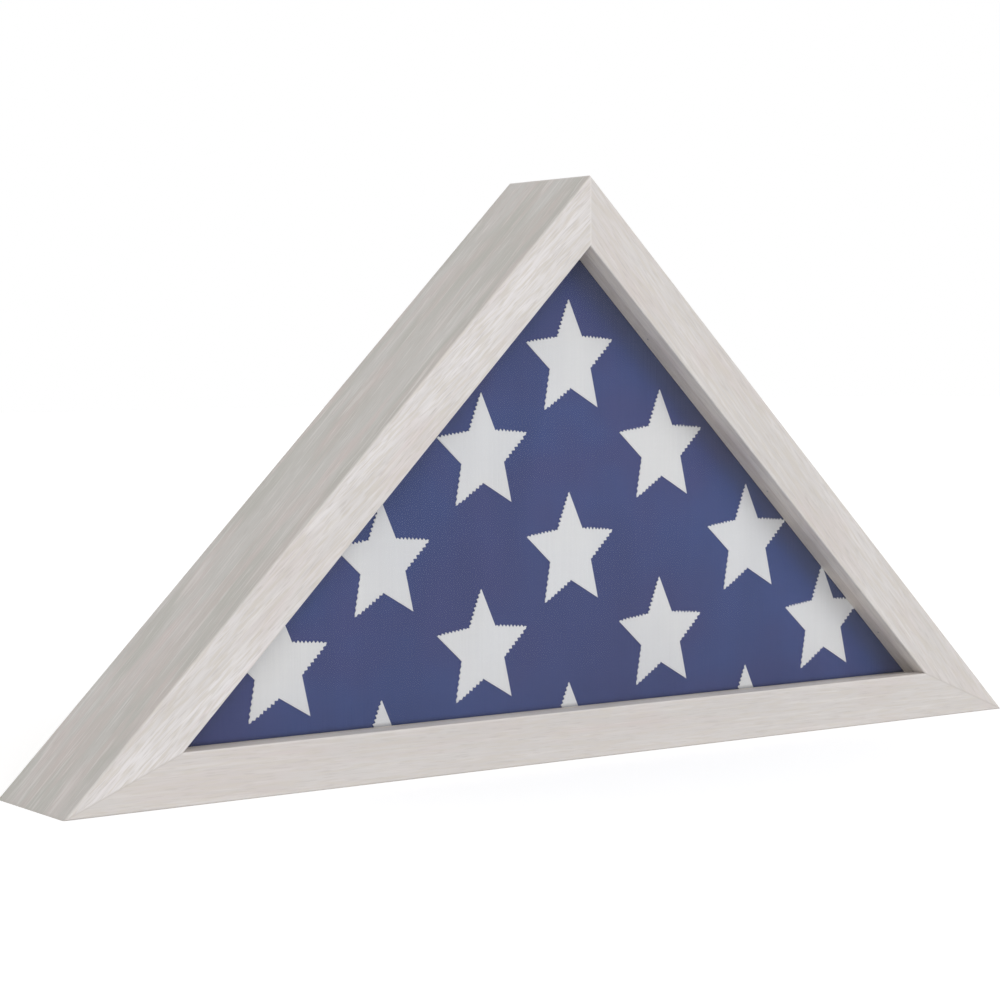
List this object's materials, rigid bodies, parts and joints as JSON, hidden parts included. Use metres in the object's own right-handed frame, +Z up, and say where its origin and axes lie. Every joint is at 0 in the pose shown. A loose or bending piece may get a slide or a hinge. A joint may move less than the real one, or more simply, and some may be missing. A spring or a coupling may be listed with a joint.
{
  "type": "folded flag display case",
  "caption": "Triangular shadow box of mitred whitewashed rails with a clear front, a folded navy flag with stars and a removable back held by turn buttons.",
  "frame": {"origin": "underside of the base rail, half way along it and half way between the rails' front and rear faces", "axes": "+X to the right along the base seen from the front, +Y from the front to the rear, +Z up towards the apex"},
  "size_m": [0.66, 0.084, 0.33],
  "materials": {
    "whitewashed_rail": "whitewashed oak-effect foil on a wood moulding, matt",
    "whitewashed_strip": "whitewashed wood strip, matt",
    "clear_pane": "clear acrylic sheet",
    "navy_cloth": "navy blue flag cloth, matt weave",
    "white_cloth": "white sewn stars",
    "fibreboard": "bare brown fibreboard",
    "black_steel": "black-finished stamped steel",
    "zinc_steel": "bright zinc-plated steel",
    "nail_steel": "plain steel",
    "bumper_rubber": "soft moulded rubber"
  },
  "bodies": {
    "case": {"left_rail": "whitewashed_rail", "right_rail": "whitewashed_rail", "base_rail": "whitewashed_rail", "corner_v_nails": "nail_steel", "glazing_pane": "clear_pane", "left_glazing_strip": "whitewashed_strip", "right_glazing_strip": "whitewashed_strip", "base_glazing_strip": "whitewashed_strip", "strip_brads": "nail_steel", "turn_button_screws": "black_steel", "hanger_strap_left": "zinc_steel", "hanger_strap_right": "zinc_steel", "hanger_screws": "zinc_steel", "wall_bumpers": "bumper_rubber"},
    "flag": {"folded_flag": "navy_cloth", "flag_stars": "white_cloth"},
    "back_panel": {"back_panel": "fibreboard"},
    "turn_button_base_left": {"turn_button_base_left": "black_steel"},
    "turn_button_base_right": {"turn_button_base_right": "black_steel"},
    "turn_button_right_lower": {"turn_button_right_lower": "black_steel"},
    "turn_button_right_upper": {"turn_button_right_upper": "black_steel"},
    "turn_button_left_upper": {"turn_button_left_upper": "black_steel"},
    "turn_button_left_lower": {"turn_button_left_lower": "black_steel"},
    "d_ring_left": {"d_ring_left": "zinc_steel"},
    "d_ring_right": {"d_ring_right": "zinc_steel"}
  },
  "joints": [
    {"name": "back_panel_slide", "type": "slide", "parent": "case", "child": "back_panel", "axis": [0, 1, 0], "range_m": [0, 0.16]},
    {"name": "flag_slide", "type": "slide", "parent": "case", "child": "flag", "axis": [0, 1, 0], "range_m": [0, 0.08]},
    {"name": "turn_button_base_left_turn", "type": "hinge", "parent": "case", "child": "turn_button_base_left", "pos_m": [-0.15, 0.0402, 0.007], "axis": [0, -1, 0], "range_deg": [0, 90]},
    {"name": "turn_button_base_right_turn", "type": "hinge", "parent": "case", "child": "turn_button_base_right", "pos_m": [0.15, 0.0402, 0.007], "axis": [0, 1, 0], "range_deg": [0, 90]},
    {"name": "turn_button_right_lower_turn", "type": "hinge", "parent": "case", "child": "turn_button_right_lower", "pos_m": [0.23783, 0.0402, 0.08227], "axis": [0, -1, 0], "range_deg": [0, 90]},
    {"name": "turn_button_right_upper_turn", "type": "hinge", "parent": "case", "child": "turn_button_right_upper", "pos_m": [0.08227, 0.0402, 0.23783], "axis": [0, 1, 0], "range_deg": [0, 90]},
    {"name": "turn_button_left_upper_turn", "type": "hinge", "parent": "case", "child": "turn_button_left_upper", "pos_m": [-0.08227, 0.0402, 0.23783], "axis": [0, -1, 0], "range_deg": [0, 90]},
    {"name": "turn_button_left_lower_turn", "type": "hinge", "parent": "case", "child": "turn_button_left_lower", "pos_m": [-0.23783, 0.0402, 0.08227], "axis": [0, 1, 0], "range_deg": [0, 90]},
    {"name": "d_ring_left_swing", "type": "hinge", "parent": "case", "child": "d_ring_left", "pos_m": [-0.11975, 0.0412, 0.20036], "axis": [0.7071, 0, -0.7071], "range_deg": [0, 170]},
    {"name": "d_ring_right_swing", "type": "hinge", "parent": "case", "child": "d_ring_right", "pos_m": [0.11975, 0.0412, 0.20036], "axis": [0.7071, 0, 0.7071], "range_deg": [0, 170]}
  ],
  "couplings": [
    {"joint": "flag_slide", "follows": "back_panel_slide", "ratio": 0.5}
  ]
}
